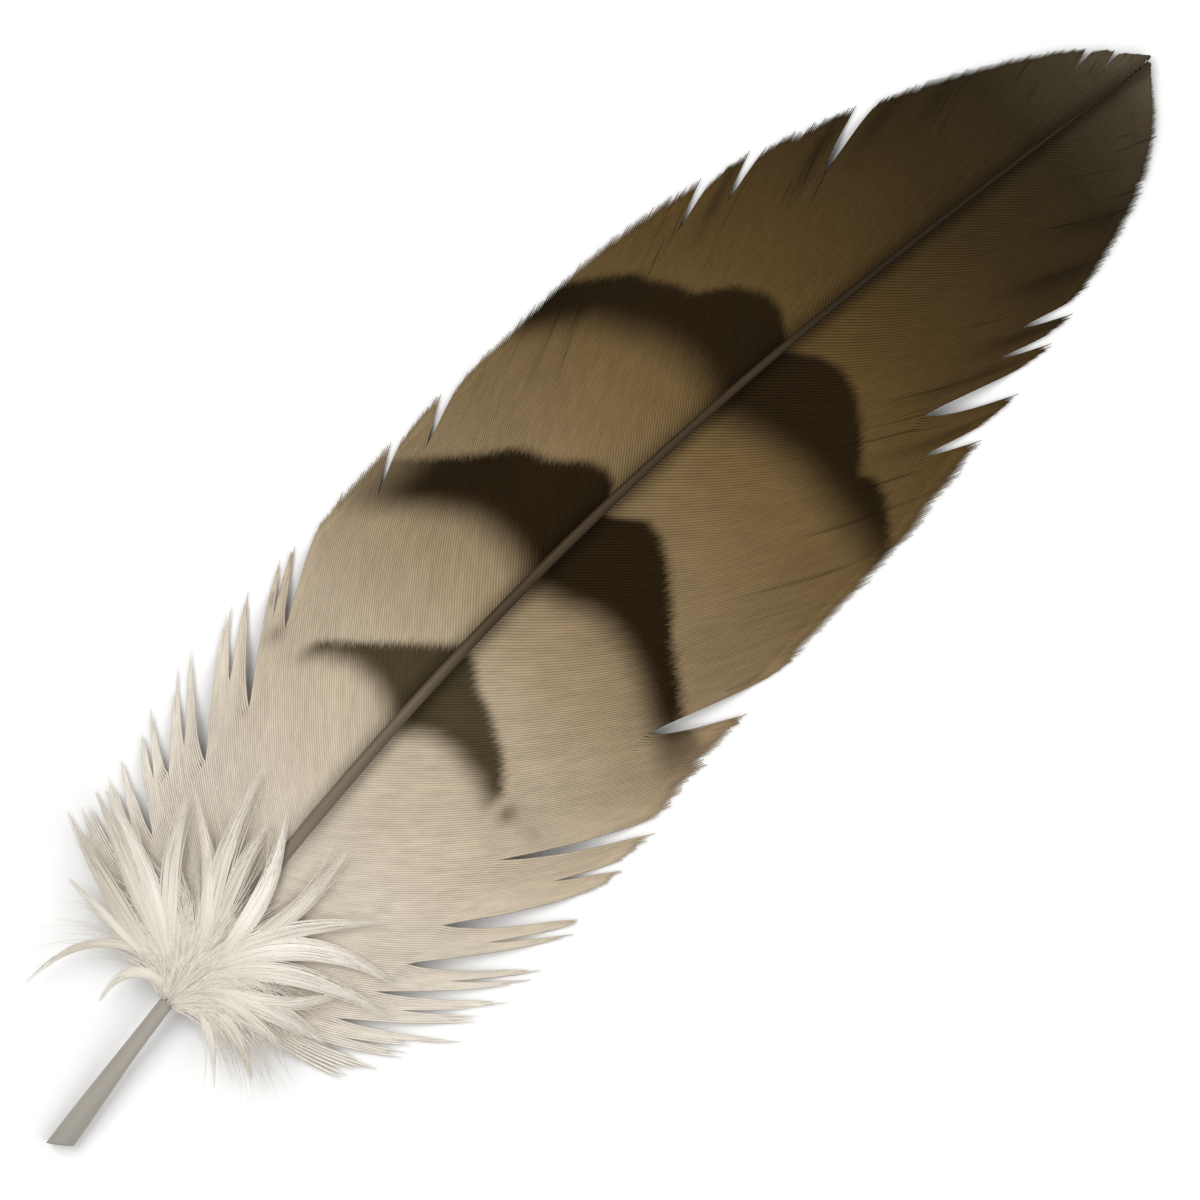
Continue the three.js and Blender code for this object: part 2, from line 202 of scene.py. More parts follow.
# Fibres of locks and body: their spread over the width, their straying and where they start and end
SIDE_SPREAD = 0.5
STRAY = 0.14
FAR_STRAY = 1.1
LOCK_STRAYS = 0.06  # share of a lock's fibres that stray far
BODY_STRAYS = 0.1
LATEST_START = 0.06
EARLIEST_END = 0.42  # share of a lock that its shortest fibres leave bare
END_POWER = 1.3
TAPER_LEAST = 0.04
TAPER_START = 0.2  # share of the half sine wave that lies before a lock's root
# Round top of a lock: how far it falls to the sides, which also sets the painted shade at its edges, its
# height, the fibres' own share, and its level
DOME_FALL = 0.95
DOME_HEIGHT = 0.22
DOME_SPREAD = 0.1
DOME_LEVEL = 0.5
# Thickness of a fibre along it: its start, least share, and range between fibres
FIBRE_START = 1.1
FIBRE_LEAST = 0.15
FIBRE_VARIATION = (0.7, 1.2)
# Light of a lock's fibres: painted shade at the lock's edge, spread between fibres, and fade from the body's
# light
PAINTED_EDGE_LIGHT = 0.75
LIGHT_SPREAD = 0.04
LIGHT_FADE_IN = (0.02, 0.4)
FIBRE_GRAIN_LENGTH = 10
FIBRE_GRAIN_STEP = 1.7

# Ground colour of the vanes along the feather: place in millimetres and sRGB colour
GROUND = [
    (24, (226, 217, 204)), (40, (204, 193, 176)), (50, (193, 179, 157)), (60, (180, 164, 140)),
    (68, (160, 142, 114)), (74, (145, 125, 97)), (88, (124, 104, 72)), (96, (111, 90, 57)),
    (112, (88, 68, 37)), (120, (73, 56, 29)), (130, (57, 44, 22)), (141, (47, 38, 21)),
    (150, (68, 59, 43)), (155, (90, 81, 65)),
]
# Colour of the shaft along the feather
HORN = [
    (0, (154, 149, 140)), (18, (160, 154, 145)), (30, (137, 129, 118)), (42, (112, 103, 90)),
    (56, (92, 81, 65)), (68, (62, 51, 35)), (90, (54, 43, 27)), (106, (50, 39, 24)), (116, (37, 28, 14)),
    (130, (31, 23, 10)), (150, (38, 30, 16)),
]
# Cream and beige ends of the down's colours; a fibre's place between them holds its tone and, in the locks,
# painted shade towards their edges
DOWN_LIGHT = (243, 238, 228)
DOWN_SHADE = (204, 195, 180)


class Bar:
    """A dark bar on one vane: its front and back edge at places across the feather, and its colour.

    Each row is the side offset, the front edge and the back edge in millimetres. The bar ends at
    the side offset end, where it has one, and fades over the distance end_soft before it. Its back
    edge fades over the distances back_soft behind and ahead of it.
    """

    def __init__(self, side, colour, back_soft, rows, end=None, end_soft=1.6):
        self.side = side
        self.colour = colour
        self.back_soft = back_soft
        self.rows = np.array(sorted(rows), float)
        self.end = end
        self.end_soft = end_soft


FAINT = (70, 60, 40)
DARK = (35, 24, 7)
BARS = [
    Bar(1, FAINT, (1.6, 2.2),
        [(7, 65.5, 54.5), (11, 61.9, 55.8), (14, 59, 55.5), (16.5, 56.6, 54.3), (18.7, 54.5, 52)],
        end=19.2),
    Bar(-1, FAINT, (1.6, 2.2),
        [(6, 64.8, 54.3), (3.5, 63, 56), (1, 62.2, 56.5), (-3, 60, 56), (-5.5, 57.5, 55)],
        end=-6.5),
    Bar(1, DARK, (2.4, 3.0),
        [(7.4, 84.8, 74), (8.6, 87, 74.2), (10, 87.5, 74.6), (11.8, 86.8, 74.8), (14.8, 84, 74.5),
         (16.5, 83.5, 74), (18, 82.5, 73.1), (20.5, 79, 71.3), (23.2, 76, 68.8), (25.5, 73.5, 66.6),
         (27, 72, 65.5)],
        end=29.5, end_soft=8),
    Bar(-1, DARK, (2.0, 2.6),
        [(6.5, 84.3, 73.5), (3.5, 86.8, 74.6), (1.5, 86.6, 75.7), (-1.2, 85, 76.2), (-4.2, 82.5, 75.8),
         (-6.8, 80, 75), (-10.5, 77.5, 73), (-13, 75.5, 71.4), (-17.5, 74.5, 69)],
        end=-19.5, end_soft=8),
    Bar(1, DARK, (2.8, 3.4),
        [(6.8, 109.5, 99.3), (9, 111, 99.8), (11, 111.2, 100.4), (14, 109.5, 100.2), (16.5, 106, 99.3),
         (18, 105.6, 98.5), (20.5, 104, 97.2), (22, 103.5, 96.2), (24, 101, 93.5), (26.2, 98, 90.5)]),
    Bar(-1, DARK, (2.8, 3.4),
        [(5.8, 108.4, 98.4), (3, 110.5, 99.6), (0.5, 111.2, 100.3), (-2, 110.5, 100.8), (-5, 108.5, 101),
         (-8.2, 105.2, 100.8), (-9.5, 106, 100.6), (-11.5, 105.5, 100.4), (-13.5, 104, 100.2),
         (-15.5, 102.3, 100)]),
]
BAR_FRONT_SOFT = 0.65  # half width of a bar's sharp front edge
BAR_RAGGED = 0.05  # how unevenly single barbs carry the bars
# Faint spots past the ends of the first bar: place, half size along and across, strength
SPOTS = {
    1: [(52.3, 21.8, 1.3, 0.8, 0.45)],
    -1: [(56.2, -7.4, 1.2, 0.8, 0.65), (56.5, -10.3, 0.8, 1.8, 0.2)],
}
# Dark streaks on groups of barbs: place, its width, place along the barb, its length, depth
STREAKS = {
    1: [(0.475, 0.005, 0.72, 0.08, 0.2), (0.505, 0.005, 0.72, 0.08, 0.2), (0.603, 0.008, 0.87, 0.12, 0.45),
        (0.683, 0.008, 0.85, 0.16, 0.5), (0.725, 0.012, 0.9, 0.15, 0.4), (0.775, 0.01, 0.85, 0.14, 0.3)],
    -1: [(0.64, 0.008, 0.87, 0.16, 0.4), (0.69, 0.008, 0.82, 0.18, 0.45), (0.722, 0.008, 0.86, 0.16, 0.45),
         (0.78, 0.012, 0.8, 0.2, 0.4), (0.835, 0.012, 0.8, 0.2, 0.35)],
}
# Streaks on single barbs: share of barbs, and ranges of place along the barb, length and depth
STREAK_SHARE = 0.11
STREAK_MIDDLES = (0.62, 0.95)
STREAK_LENGTHS = (0.06, 0.16)
STREAK_DEPTHS = (0.2, 0.5)
STREAK_FADE_IN = (80, 100)
# Painted shadow of the shaft on each vane beside it, deeper on the right vane, away from the key light
PAINTED_SHAFT_SHADOW = {1: 0.45, -1: 0.62}  # darkening of each vane beside the shaft
PAINTED_SHADOW_REACH = 0.9
PAINTED_SHADOW_FADE_IN = (20, 55)
# The left vane's ground colour past this distance from the shaft is that of a place nearer the tip
OUTER_FROM = 9
OUTER_SHIFT = 0.25


# Curves and fields

def smooth_step(low, high, value):
    """0 below low and 1 above high, with the cubic 3t^2 - 2t^3 between them."""
    t = np.clip((value - low) / (high - low), 0, 1)
    return t * t * (3 - 2 * t)


def catmull_rom(points, place):
    """A curve through points: between two of them a cubic, whose slope at each is half its neighbours'
    step."""
    last = len(points) - 1
    held = np.vstack([2 * points[0] - points[1], points, 2 * points[-1] - points[-2]])
    run = np.clip(place, 0, 1) * last
    first = np.minimum(run.astype(int), last - 1)
    t = (run - first)[..., None]
    before, start, end, after = (held[first + k] for k in range(4))
    leave, arrive = (end - before) / 2, (after - start) / 2
    return ((2 * t**3 - 3 * t**2 + 1) * start + (t**3 - 2 * t**2 + t) * leave
            + (3 * t**2 - 2 * t**3) * end + (t**3 - t**2) * arrive)


def shaft_side(x):
    """Side offset of the shaft: half a sine wave over its length."""
    return END_OFFSET + SIDE_BOW * np.sin(np.pi * x / LENGTH)


def shaft_height(x):
    """Height of the shaft: half a sine wave over a line between the heights of its ends."""
    ends = QUILL_DIAMETER / 2 + (TIP_HEIGHT - QUILL_DIAMETER / 2) * x / LENGTH
    return ends + ARCH * np.sin(np.pi * x / LENGTH)


def shaft_radius(x):
    """Radius of the shaft: the quill's blends into the rachis's, a power of the length that is left."""
    left = np.clip(1 - np.clip(x - QUILL_LENGTH, 0, None) / (SHAFT_END - QUILL_LENGTH), 0, 1)
    rachis = np.maximum(TIP_DIAMETER, RACHIS_DIAMETER * left**RACHIS_TAPER)
    share = smooth_step(0, QUILL_LENGTH, x)
    return (QUILL_DIAMETER + (rachis - QUILL_DIAMETER) * share) / 2


def bezier(start, bend, end, share):
    """The quadratic curve (1-s)^2 start + 2s(1-s) bend + s^2 end."""
    s = share[..., None]
    return (1 - s)**2 * start + 2 * s * (1 - s) * bend + s**2 * end


def barb_controls(vane, place):
    """Root, bend and tip of barbs: the tip is on the outline, the root on the shaft a sweep behind it,
    and the bend is half way, pushed outwards by a share of the run from root to tip."""
    tip = catmull_rom(vane.outline, place)
    x = tip[..., 0] - END_SWEEP - vane.sweep * np.sin(np.pi * place)
    root = np.stack([x, shaft_side(x) + vane.side * ROOT_INSET * shaft_radius(x)], -1)
    run = tip - root
    outwards = np.stack([-run[..., 1], run[..., 0]], -1) * vane.side * BARB_BULGE
    return root, (root + tip) / 2 + outwards, tip


def vane_height(place, share, root_x):
    """Height of a vane's middle: it falls from the shaft by a power of the share, and its edge lies flat
    at mid length and lifts by a square past that stretch."""
    past = np.clip(np.abs(place - FLAT_MIDDLE) - FLAT_HALF, 0, None) / FLAT_MIDDLE
    edge = EDGE_LIFT * past**2 + EDGE_THICKNESS / 2
    start = np.maximum(edge, shaft_height(root_x) + ROOT_RISE * shaft_radius(root_x))
    fall = np.clip(share / FLAT_FROM, 0, 1)**DROOP
    return start + (edge - start) * fall


def down_height(x, y):
    """Height of a lock: that of the shaft, brought down by a power of the distance from it."""
    away = np.clip(np.abs(y - shaft_side(x)) / DOWN_SPREAD, 0, 1)
    return np.maximum(LOWEST_DOWN, shaft_height(x) * (1 - away**DROOP) + LOCK_CLEARANCE)


# Colours

def linear(colour):
    """Linear light of an sRGB colour of 0 to 255."""
    c = np.asarray(colour, float) / 255
    return np.where(c <= 0.04045, c / 12.92, ((c + 0.055) / 1.055)**2.4)


def ramp(stops, x):
    """Colour at x between stops, each channel mixed in a straight line."""
    places = [place for place, _ in stops]
    colours = linear([colour for _, colour in stops])
    return np.stack([np.interp(x, places, colours[:, k]) for k in range(3)], -1)


def bar_cover(bar, x, y):
    """How far a bar covers a point: a sharp step at its front edge times a soft fade at its back edge."""
    front = np.interp(y, bar.rows[:, 0], bar.rows[:, 1])
    back = np.interp(y, bar.rows[:, 0], bar.rows[:, 2])
    cover = 1 - smooth_step(front - BAR_FRONT_SOFT, front + BAR_FRONT_SOFT, x)
    cover = cover * smooth_step(back - bar.back_soft[0], back + bar.back_soft[1], x)
    if bar.end is not None:
        cover = cover * smooth_step(0, bar.end_soft, bar.side * (bar.end - y))
    return cover


def vane_colour(vane, x, y):
    """Ground colour along the feather, mixed with the bars and bell-shaped spots of this side, and
    darkened beside the shaft by a painted shadow of the shaft, a bell curve of the distance from it."""
    outer = np.clip(np.abs(y - shaft_side(x)) - OUTER_FROM, 0, None)
    colour = ramp(GROUND, x + OUTER_SHIFT * outer * (vane.side > 0))
    for bar in BARS:
        if bar.side == vane.side:
            cover = bar_cover(bar, x, y)[..., None]
            colour = colour + (linear(bar.colour) - colour) * cover
    for at_x, at_y, half_x, half_y, strength in SPOTS[vane.side]:
        spot = strength * np.exp(-((x - at_x) / half_x)**2 - ((y - at_y) / half_y)**2)
        colour = colour + (linear(FAINT) - colour) * spot[..., None]
    # Painted shadow: each vane darker beside the shaft, by a bell curve of the distance from it
    beside = np.clip(np.abs(y - shaft_side(x)) - shaft_radius(x), 0, None)
    painted_shadow = PAINTED_SHAFT_SHADOW[vane.side] * np.exp(-(beside / PAINTED_SHADOW_REACH)**2) * smooth_step(*PAINTED_SHADOW_FADE_IN, x)
    return colour * (1 - painted_shadow)[..., None]


# Meshes

SHIFT = np.array([
    cad_high.x / MM - LENGTH,
    cad_high.y / MM - catmull_rom(LEFT_VANE.outline, np.linspace(0, 1, OUTLINE_SAMPLES))[:, 1].max(),
    0.0,
])


def make_piece(name, points, faces, node, slot, material, **attributes):
    """A mesh of four-cornered faces, from points in millimetres and rows of point numbers.

    Each attribute is a row of values per point, and the bake's map is the plan view of the piece.
    """
    points = (points.reshape(-1, 3) + SHIFT) * MM
    faces = faces.reshape(-1, 4)
    mesh = bpy.data.meshes.new(name)
    mesh.vertices.add(len(points))
    mesh.vertices.foreach_set("co", points.astype(np.float32).ravel())
    mesh.loops.add(faces.size)
    mesh.loops.foreach_set("vertex_index", faces.astype(np.int32).ravel())
    mesh.polygons.add(len(faces))
    mesh.polygons.foreach_set("loop_start", np.arange(0, faces.size, 4, dtype=np.int32))
    mesh.polygons.foreach_set("loop_total", np.full(len(faces), 4, np.int32))
    mesh.polygons.foreach_set("use_smooth", np.ones(len(faces), bool))
    mesh.update(calc_edges=True)
    plan = (points[:, :2] - points[:, :2].min(0)) / np.ptp(points[:, :2], axis=0).max()
    bake_map = mesh.uv_layers.new(name="OFBake")
    bake_map.uv.foreach_set("vector", plan[faces.ravel()].astype(np.float32).ravel())
    for key, values in attributes.items():
        values = values.reshape(len(points), -1)
        if key == "colour":
            values = np.hstack([values, np.ones((len(values), 1))])
            layer, field = mesh.attributes.new(key, "FLOAT_COLOR", "POINT"), "color"
        else:
            layer, field = mesh.attributes.new(key, "FLOAT_VECTOR", "POINT"), "vector"
        layer.data.foreach_set(field, values.astype(np.float32).ravel())
    mesh.materials.append(material)
    piece = bpy.data.objects.new(name, mesh)
    bpy.context.scene.collection.objects.link(piece)
    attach(piece, "root")
    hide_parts(node)
    return piece


def tube_points(centres, across_offsets, up_offsets):
    """Points of tubes: each section's offsets are laid off across and up from the tube's centre line.

    The across direction is level and square to the path, and up is square to both.
    """
    path = np.gradient(centres, axis=1)
    path /= np.linalg.norm(path, axis=-1, keepdims=True)
    across = np.stack([-path[..., 1], path[..., 0], np.zeros(path.shape[:2])], -1)
    across /= np.linalg.norm(across, axis=-1, keepdims=True)
    up = np.cross(path, across)
    return (centres[:, :, None] + across_offsets[..., None] * across[:, :, None]
            + up_offsets[..., None] * up[:, :, None])


def tube_faces(tubes, stations, corners=4):
    """Faces of closed tubes: a wall between each two sections, and a face over both ends."""
    number = np.arange(tubes * stations * corners).reshape(tubes, stations, corners)
    turned = np.roll(number, -1, axis=2)
    walls = np.stack([number[:, :-1], turned[:, :-1], turned[:, 1:], number[:, 1:]], -1)
    ends = np.concatenate([number[:, 0, ::-1], number[:, -1]])
    return np.concatenate([walls.reshape(-1, 4), ends])


# Materials

NOISE_RANGE = (0.25, 0.75)  # the part of a noise's values that is spread out


def node_material(name):
    """A new material with its node tree and its main shader."""
    material = bpy.data.materials.new(name)
    material.use_nodes = True
    return material, material.node_tree, material.node_tree.nodes["Principled BSDF"]


def attribute_node(tree, name):
    """A node that reads a value stored on the mesh."""
    node = tree.nodes.new("ShaderNodeAttribute")
    node.attribute_name = name
    return node


def varied_colour(tree, colour, noise, darkest, lightest):
    """The colour times a number between darkest and lightest, by a noise of 0 to 1."""
    spread = tree.nodes.new("ShaderNodeMapRange")
    spread.inputs["From Min"].default_value = NOISE_RANGE[0]
    spread.inputs["From Max"].default_value = NOISE_RANGE[1]
    spread.inputs["To Min"].default_value = darkest
    spread.inputs["To Max"].default_value = lightest
    tree.links.new(noise, spread.inputs["Value"])
    times = tree.nodes.new("ShaderNodeVectorMath")
    times.operation = "SCALE"
    tree.links.new(colour, times.inputs[0])
    tree.links.new(spread.outputs["Result"], times.inputs["Scale"])
    return times.outputs["Vector"]


def noise_node(tree, vector, scale, detail=2.0):
    """A noise of 0 to 1 over a vector."""
    noise = tree.nodes.new("ShaderNodeTexNoise")
    noise.inputs["Scale"].default_value = scale
    noise.inputs["Detail"].default_value = detail
    tree.links.new(vector, noise.inputs["Vector"])
    return noise.outputs["Fac"]


def bump_node(tree, height, strength, distance):
    """A surface direction tilted by the slope of a height."""
    bump = tree.nodes.new("ShaderNodeBump")
    bump.inputs["Strength"].default_value = strength
    bump.inputs["Distance"].default_value = distance
    tree.links.new(height, bump.inputs["Height"])
    return bump.outputs["Normal"]


def vane_material():
    """Barbs in their stored colour, which holds the painted shadow of the shaft beside it, streaked along
    their run, with fine barbules across them.
    """
    material, tree, shader = node_material("vane_barbs")
    run = attribute_node(tree, "run").outputs["Vector"]
    place = tree.nodes.new("ShaderNodeTexCoord").outputs["Object"]
    colour = attribute_node(tree, "colour").outputs["Color"]
    streak = noise_node(tree, run, scale=0.55, detail=3.0)
    colour = varied_colour(tree, colour, streak, darkest=0.88, lightest=1.1)
    blotch = noise_node(tree, place, scale=140.0)
    colour = varied_colour(tree, colour, blotch, darkest=0.95, lightest=1.05)
    tree.links.new(colour, shader.inputs["Base Color"])
    barbules = tree.nodes.new("ShaderNodeTexWave")
    barbules.inputs["Scale"].default_value = 3.0
    barbules.inputs["Distortion"].default_value = 1.5
    tree.links.new(run, barbules.inputs["Vector"])
    normal = bump_node(tree, barbules.outputs["Fac"], strength=0.25, distance=0.00002)
    tree.links.new(normal, shader.inputs["Normal"])
    shader.inputs["Roughness"].default_value = 0.7
    shader.inputs["Specular IOR Level"].default_value = 0.06
    return material


def down_material():
    """Pale silky fibres in their stored colour, which holds painted shade at the edges of the locks, streaked
    along their run, with a faint sheen.
    """
    material, tree, shader = node_material("down_fibres")
    run = attribute_node(tree, "run").outputs["Vector"]
    colour = attribute_node(tree, "colour").outputs["Color"]
    colour = varied_colour(tree, colour, noise_node(tree, run, scale=0.8), darkest=0.93, lightest=1.04)
    tree.links.new(colour, shader.inputs["Base Color"])
    shader.inputs["Roughness"].default_value = 0.75
    shader.inputs["Specular IOR Level"].default_value = 0.2
    shader.inputs["Sheen Weight"].default_value = 0.15
    return material


def horn_material():
    """Smooth horn in its stored colour, which holds a painted highlight along its top, with fine lengthwise
    grain and a satin surface.
    """
    material, tree, shader = node_material("shaft_horn")
    run = attribute_node(tree, "run").outputs["Vector"]
    colour = attribute_node(tree, "colour").outputs["Color"]
    grain = noise_node(tree, run, scale=0.9, detail=4.0)
    colour = varied_colour(tree, colour, grain, darkest=0.9, lightest=1.08)
    tree.links.new(colour, shader.inputs["Base Color"])
    tree.links.new(bump_node(tree, grain, strength=0.2, distance=0.00004), shader.inputs["Normal"])
    shader.inputs["Roughness"].default_value = 0.45
    shader.inputs["Specular IOR Level"].default_value = 0.1
    return material


# Shaft

VISIBLE_END = 155.0  # the shaft's hair-thin end, between the last barbs
SHAFT_STATIONS = 220
SHAFT_CORNERS = 24
STATION_POWER = 1.15  # over 1, so that sections stand closer at the quill
CUT_FADE = 12  # distance over which the cut's slant fades out of the sections
POINT_SHARE = 0.02  # size of the small faces that close the ends, against the bore and the tip
# Painted highlight: a pale strip along the top of the shaft on the key light's side, its place and half width
# across, strength, and fades along
HIGHLIGHT_STRIP_PLACE = 0.25
HIGHLIGHT_STRIP_HALF = 0.35
HIGHLIGHT_STRIP_LIFT = 0.3
HIGHLIGHT_STRIP_FADE_IN = (38, 60)
HIGHLIGHT_STRIP_FADE_OUT = (104, 118)
HORN_GRAIN_STRETCH = 0.08


def shaft_piece(material):
    """A round section carried along the shaft's curve, slanted at the cut end, whose hollow leads in."""
    x = VISIBLE_END * np.linspace(0, 1, SHAFT_STATIONS)**STATION_POWER
    radius = shaft_radius(x)
    slant = CUT_SLOPE * np.clip(1 - x / CUT_FADE, 0, 1)
    bore = radius[0] * BORE_SHARE
    x = np.concatenate([[BORE_DEPTH, BORE_DEPTH, CUT_SLOPE * (radius[0] - bore)], x])
    radius = np.concatenate([[bore * POINT_SHARE, bore, bore], radius])
    slant = np.concatenate([[0, 0, CUT_SLOPE], slant])
    radius = np.append(radius, TIP_DIAMETER * POINT_SHARE)
    x = np.append(x, VISIBLE_END)
    slant = np.append(slant, 0)
    angle = np.linspace(0, 2 * np.pi, SHAFT_CORNERS, endpoint=False)
    across = radius[:, None] * np.cos(angle)
    up = radius[:, None] * np.sin(angle)
    points = np.stack([
        x[:, None] + slant[:, None] * (radius[:, None] - across),
        shaft_side(x)[:, None] + across,
        shaft_height(x)[:, None] + up,
    ], -1)
    colour = ramp(HORN, points[..., 0])
    # Painted highlight: a pale strip on the top of the shaft, towards the key light
    highlight_strip = np.exp(-((np.cos(angle) - HIGHLIGHT_STRIP_PLACE) / HIGHLIGHT_STRIP_HALF)**2) * (np.sin(angle) > 0)
    along = smooth_step(*HIGHLIGHT_STRIP_FADE_IN, x) * (1 - smooth_step(*HIGHLIGHT_STRIP_FADE_OUT, x))
    painted_highlight = highlight_strip[None] * along[:, None] * HIGHLIGHT_STRIP_LIFT
    colour = colour * (1 + painted_highlight[..., None])
    number = np.arange(points.shape[0] * SHAFT_CORNERS).reshape(points.shape[:2])
    turned = np.roll(number, -1, axis=1)
    walls = np.stack([number[:-1], turned[:-1], turned[1:], number[1:]], -1).reshape(-1, 4)
    k = np.arange(SHAFT_CORNERS // 2 - 1)
    cap = np.stack([k, k + 1, SHAFT_CORNERS - 2 - k, SHAFT_CORNERS - 1 - k], -1)
    faces = np.concatenate([walls, number[0][cap[:, ::-1]], number[-1][cap]])
    still = 0 * x[:, None]
    run = np.stack([points[..., 0] * HORN_GRAIN_STRETCH, np.cos(angle) + still, np.sin(angle) + still], -1)
    return make_piece("feather_shaft", points, faces, "shaft", "shaft_horn", material, colour=colour, run=run)


# Vanes

def barb_places(vane):
    """Places of barbs that stand evenly apart half way along: the gaps across them are summed and
    shared out."""
    place = np.linspace(0, 1, PLACE_SAMPLES)
    root, bend, tip = barb_controls(vane, place)
    middle = (root + 2 * bend + tip) / 4
    run = (tip - root) / np.linalg.norm(tip - root, axis=-1, keepdims=True)
    step = np.diff(middle, axis=0)
    gap = np.abs(step[:, 0] * run[1:, 1] - step[:, 1] * run[1:, 0])
    reached = np.concatenate([[0], np.cumsum(gap)])
    return np.interp(np.linspace(0, reached[-1], BARBS), reached, place)


def open_splits(vane, place, share):
    """Places of barbs moved aside at each split: by half its width, in step with how far along the barb
    the split has opened, and by a bell curve of the distance to it."""
    moved = place + 0 * share
    for at, start, width in vane.splits:
        opening = SPLIT_FULLNESS * np.clip((share - start) / (1 - start), 0, 1)**SPLIT_BLUNTNESS
        near = np.exp(-((place - at) / SPLIT_REACH)**2)
        moved = moved + np.sign(place - at) * width / 2 / EDGE_RUN * opening * near
    return moved


def barb_ends(vane, place):
    """Share at which each barb ends: a little uneven, long behind a split, drawn back ahead of it."""
    loose = 1 - smooth_step(LOOSE_UNTIL * LOOSE_ENDS_FULL, LOOSE_UNTIL, place)
    end = 1 + random.normal(0, 1, len(place)) * (END_UNEVENNESS + LOOSE_END_UNEVENNESS * loose)
    for at, _, _ in vane.splits:
        ahead = place - at
        end -= np.where(ahead >= 0, STEP_BACK * np.exp(-np.abs(ahead) / STEP_REACH), 0)
        end += np.where(ahead < 0, SPLIT_LEAD * np.exp(-np.abs(ahead) / LEAD_REACH), 0)
    return end


def vane_piece(vane, material):
    """Barbs side by side, each a thin ridged blade along its curve, wide enough to lap over the next."""
    place = barb_places(vane)
    share = np.linspace(0, 1, BARB_STATIONS)[None] * barb_ends(vane, place)[:, None]
    moved = open_splits(vane, place[:, None], share)
    root, bend, tip = barb_controls(vane, moved)
    plan = bezier(root, bend, tip, share)
    height = vane_height(moved, share, root[..., 0])
    height = height + RIPPLE_HEIGHT * np.sin(place[:, None] * RIPPLE_RATE) * share
    centres = np.concatenate([plan, height[..., None]], -1)

    still = bezier(*barb_controls(vane, place[:, None] + 0 * share), share)
    step = np.gradient(still, axis=0)
    along = np.gradient(still, axis=1)
    along /= np.linalg.norm(along, axis=-1, keepdims=True)
    gap = np.abs(step[..., 0] * along[..., 1] - step[..., 1] * along[..., 0])
    loose = (1 - smooth_step(LOOSE_UNTIL * LOOSE_BARBS_FULL, LOOSE_UNTIL, place))[:, None]
    run = np.linspace(0, 1, BARB_STATIONS)[None]
    narrow = np.clip((1 - run) / TIP_RUN, TIP_LEAST, 1)**TIP_POWER
    width = np.clip(gap, *GAP_LIMITS) * BARB_OVERLAP * narrow * (1 - LOOSE_NARROWING * loose * run)
    ridge = BARB_RIDGE * np.clip(width / RIDGE_FULL_WIDTH, *RIDGE_LIMITS)
    tilt = -vane.side * ridge * BARB_TILT
    across = np.stack([width / 2, 0 * width, -width / 2, 0 * width], -1)
    up = np.stack([tilt, ridge, -tilt, -ridge - BARB_KEEL], -1)
    points = tube_points(centres, across, up)

    ragged = random.normal(0, BAR_RAGGED, BARBS)[:, None, None]
    colour = vane_colour(vane, points[..., 0] + ragged, points[..., 1])
    colour = colour * streaks(vane, place, run, points[..., 0])[..., None]
    pale = (LOOSE_PALENESS * loose * run**PALE_POWER)[..., None, None]
    colour = colour + (linear(DOWN_LIGHT) - colour) * pale
    length = run[..., None] * GRAIN_LENGTH + 0 * points[..., 0]
    number = np.arange(BARBS)[:, None, None] + 0 * points[..., 0]
    runs = np.stack([length, number * GRAIN_STEP, 0 * number + vane.side * GRAIN_START], -1)
    faces = tube_faces(BARBS, BARB_STATIONS)
    return make_piece("barbs_" + vane.name, points, faces, vane.name, "vane", material,
                      colour=colour, run=runs)


def streaks(vane, place, run, x):
    """Darkening along barbs: bell curves along the barb, at random places on about one barb in nine,
    and over the groups of neighbours in this vane's rows of STREAKS."""
    count = len(place)
    marked = (random.random(count) < STREAK_SHARE)[:, None, None]
    middle = random.uniform(*STREAK_MIDDLES, count)[:, None, None]
    length = random.uniform(*STREAK_LENGTHS, count)[:, None, None]
    depth = random.uniform(*STREAK_DEPTHS, count)[:, None, None]
    bell = np.exp(-((run[..., None] - middle) / length)**2)
    light = 1 - marked * depth * bell * smooth_step(*STREAK_FADE_IN, x)
    for at, width, middle, length, depth in STREAKS[vane.side]:
        near = np.exp(-((place - at) / width)**2)[:, None, None]
        light = light * (1 - depth * near * np.exp(-((run[..., None] - middle) / length)**2))
    return light


# Down

def lock_fibres():
    """Root, half-way point, tip, width and brightness of every lock, repeated for each of its fibres."""
    counts = [round(FIBRES_PER_MM * width) for _, _, _, width, _ in LOCKS]
    return [np.repeat(np.array([lock[k] for lock in LOCKS], float), counts, axis=0) for k in range(5)]


def body_fibres():
    """The same values for the body's fibres: each starts along the shaft and turns to its own direction."""
    direction = np.radians(random.uniform(*BODY_DIRECTIONS, BODY_FIBRES))
    reach = random.uniform(*BODY_REACH, BODY_FIBRES)[:, None]
    root_x = random.uniform(*BODY_ROOTS, BODY_FIBRES)
    root = np.stack([root_x, shaft_side(root_x) + np.sin(direction) * BODY_ROOT_SPREAD], -1)
    tip = root + reach * np.stack([np.cos(direction), np.sin(direction)], -1)
    lead = direction * BODY_LEAD
    bend = root + reach / 2 * np.stack([np.cos(lead), np.sin(lead)], -1)
    brightness = random.uniform(*BODY_BRIGHTNESS, BODY_FIBRES)
    return [root, (root + 2 * bend + tip) / 4, tip, np.full(BODY_FIBRES, BODY_WIDTH), brightness]


